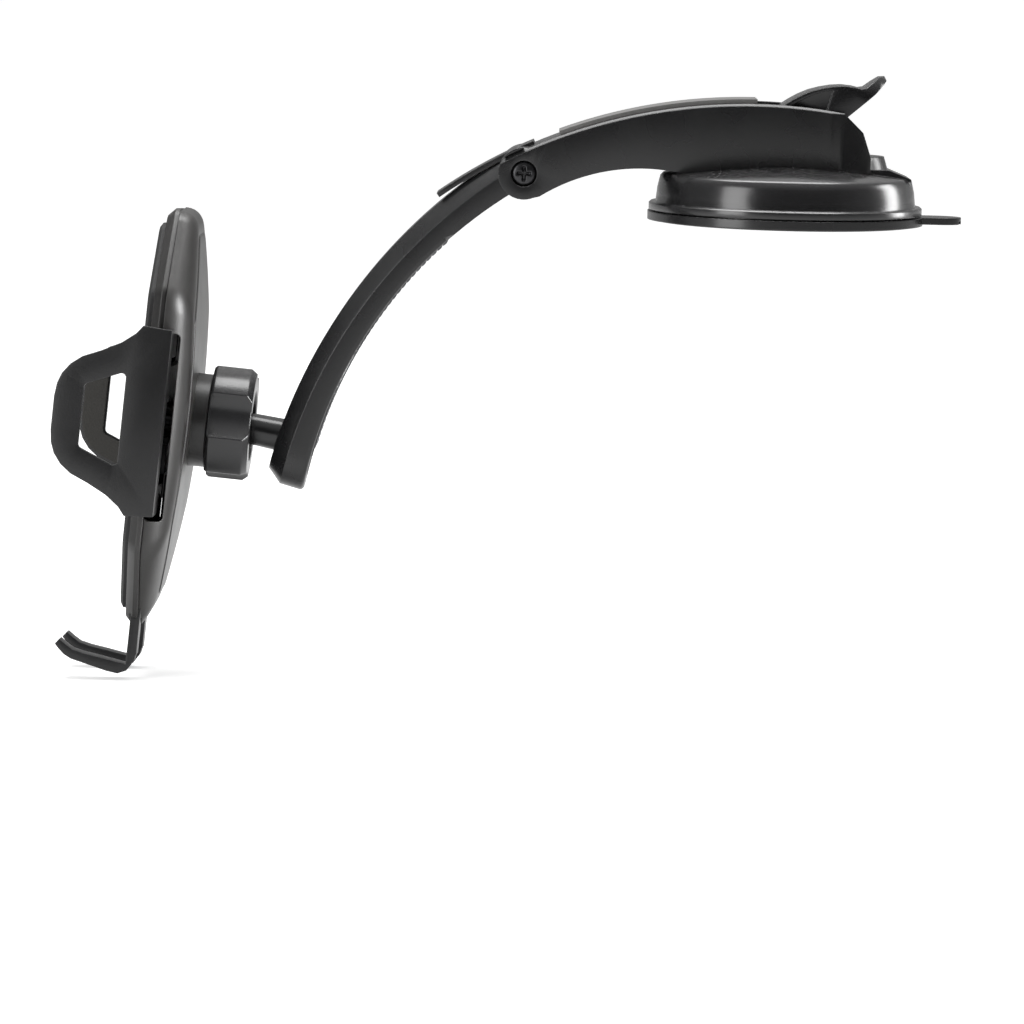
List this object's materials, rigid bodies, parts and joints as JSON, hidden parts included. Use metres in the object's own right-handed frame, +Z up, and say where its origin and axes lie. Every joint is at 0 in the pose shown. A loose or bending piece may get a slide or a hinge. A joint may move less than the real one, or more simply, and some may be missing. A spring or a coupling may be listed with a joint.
{
  "type": "dashboard phone mount",
  "caption": "Dashboard phone mount with a lever-locked suction base, a two-piece folding arm, a ball joint and a side-clamping cradle with a foot.",
  "frame": {"origin": "centre of the flat underside of the suction cup", "axes": "+Z up from the dashboard, -X along the arm towards the phone cradle, +X towards the lever tongue and the pull tab"},
  "size_m": [0.254, 0.083, 0.1752],
  "materials": {
    "base_plastic": "satin",
    "arm_plastic": "satin",
    "lever_plastic": "satin",
    "trim_plastic": "satin",
    "cradle_plastic": "satin",
    "nut_plastic": "satin",
    "inner_plastic": "natural",
    "cup_rubber": "smooth",
    "pad_rubber": "matte",
    "grip_weave": "woven",
    "steel": "plain",
    "dark_steel": "blackened"
  },
  "bodies": {
    "base": {"base_housing": "base_plastic", "suction_cup": "cup_rubber", "upper_arm": "arm_plastic", "top_strip": "trim_plastic", "arm_screws": "steel", "elbow_screws": "dark_steel", "elbow_sleeve": "steel", "elbow_washers": "steel", "stem_spring": "steel"},
    "stem": {"cup_stem": "inner_plastic", "lever_pin": "steel"},
    "lever": {"lever": "lever_plastic"},
    "lower_arm": {"lower_arm": "arm_plastic", "hinge_insert": "trim_plastic", "grip_strip": "grip_weave", "ball_stud": "nut_plastic", "stud_screw": "steel"},
    "seat_cup": {"seat_cup": "inner_plastic"},
    "seat_ring": {"seat_ring": "inner_plastic"},
    "cradle": {"back_shell": "cradle_plastic", "front_shell": "cradle_plastic", "front_pad": "pad_rubber", "shell_screws": "steel", "ball_socket": "cradle_plastic", "socket_screws": "steel", "pinion_pin": "steel", "pinion_spring": "steel", "button_spring": "steel", "pawl_pin": "steel"},
    "socket_nut": {"socket_nut": "nut_plastic"},
    "clamp_near": {"clamp_near": "cradle_plastic", "clamp_pad_near": "pad_rubber"},
    "clamp_far": {"clamp_far": "cradle_plastic", "clamp_pad_far": "pad_rubber"},
    "pinion": {"pinion": "inner_plastic"},
    "foot": {"foot": "cradle_plastic"},
    "release_button": {"release_button": "cradle_plastic"},
    "pawl": {"pawl": "inner_plastic"}
  },
  "joints": [
    {"name": "lever_lift", "type": "slide", "parent": "base", "child": "stem", "axis": [0, 0, 1], "range_m": [0, 0.00164], "deforming": ["stem_spring"]},
    {"name": "lever_turn", "type": "hinge", "parent": "stem", "child": "lever", "pos_m": [0, 0, 0.026], "axis": [0, 1, 0], "range_deg": [0, 40]},
    {"name": "elbow", "type": "hinge", "parent": "base", "child": "lower_arm", "pos_m": [-0.0742, 0, 0.01249], "axis": [0, -1, 0], "range_deg": [0, 75]},
    {"name": "ball_pitch", "type": "hinge", "parent": "lower_arm", "child": "seat_cup", "pos_m": [-0.15921, 0, -0.06129], "axis": [0, 1, 0], "range_deg": [-12, 20]},
    {"name": "ball_yaw", "type": "hinge", "parent": "seat_cup", "child": "seat_ring", "pos_m": [-0.15921, 0, -0.06129], "axis": [0.0827, 0.0576, 0.9949], "range_deg": [-15, 15]},
    {"name": "ball_spin", "type": "hinge", "parent": "seat_ring", "child": "cradle", "pos_m": [-0.15921, 0, -0.06129], "axis": [0.9966, 0, -0.0828], "continuous": true},
    {"name": "nut_turn", "type": "hinge", "parent": "cradle", "child": "socket_nut", "pos_m": [-0.15921, 0, -0.06129], "axis": [0.9966, 0, -0.0828], "range_deg": [0, 360]},
    {"name": "clamp_near_slide", "type": "slide", "parent": "cradle", "child": "clamp_near", "axis": [0.0048, -0.9983, 0.0574], "range_m": [-0.007, 0.008]},
    {"name": "clamp_far_slide", "type": "slide", "parent": "cradle", "child": "clamp_far", "axis": [-0.0048, 0.9983, -0.0574], "range_m": [-0.007, 0.008]},
    {"name": "pinion_turn", "type": "hinge", "parent": "cradle", "child": "pinion", "pos_m": [-0.17366, 0, -0.06009], "axis": [0.9966, 0, -0.0828], "range_deg": [-80, 80]},
    {"name": "foot_slide", "type": "slide", "parent": "cradle", "child": "foot", "axis": [-0.0827, -0.0576, -0.9949], "range_m": [-0.008, 0.012]},
    {"name": "button_press", "type": "slide", "parent": "cradle", "child": "release_button", "axis": [0.0048, -0.9983, 0.0574], "range_m": [0, 0.0014], "stiffness_N_per_m": 300, "springref_m": -0.0005},
    {"name": "pawl_turn", "type": "hinge", "parent": "cradle", "child": "pawl", "pos_m": [-0.17637, 0.01174, -0.09271], "axis": [0.9966, 0, -0.0828], "range_deg": [-9, 0]}
  ],
  "couplings": [
    {"joint": "lever_turn", "follows": "lever_lift", "rad_per_m": 425.25},
    {"joint": "clamp_far_slide", "follows": "clamp_near_slide", "ratio": 1},
    {"joint": "pinion_turn", "follows": "clamp_near_slide", "rad_per_m": 166.67},
    {"joint": "pawl_turn", "follows": "button_press", "rad_per_m": -99.733}
  ]
}
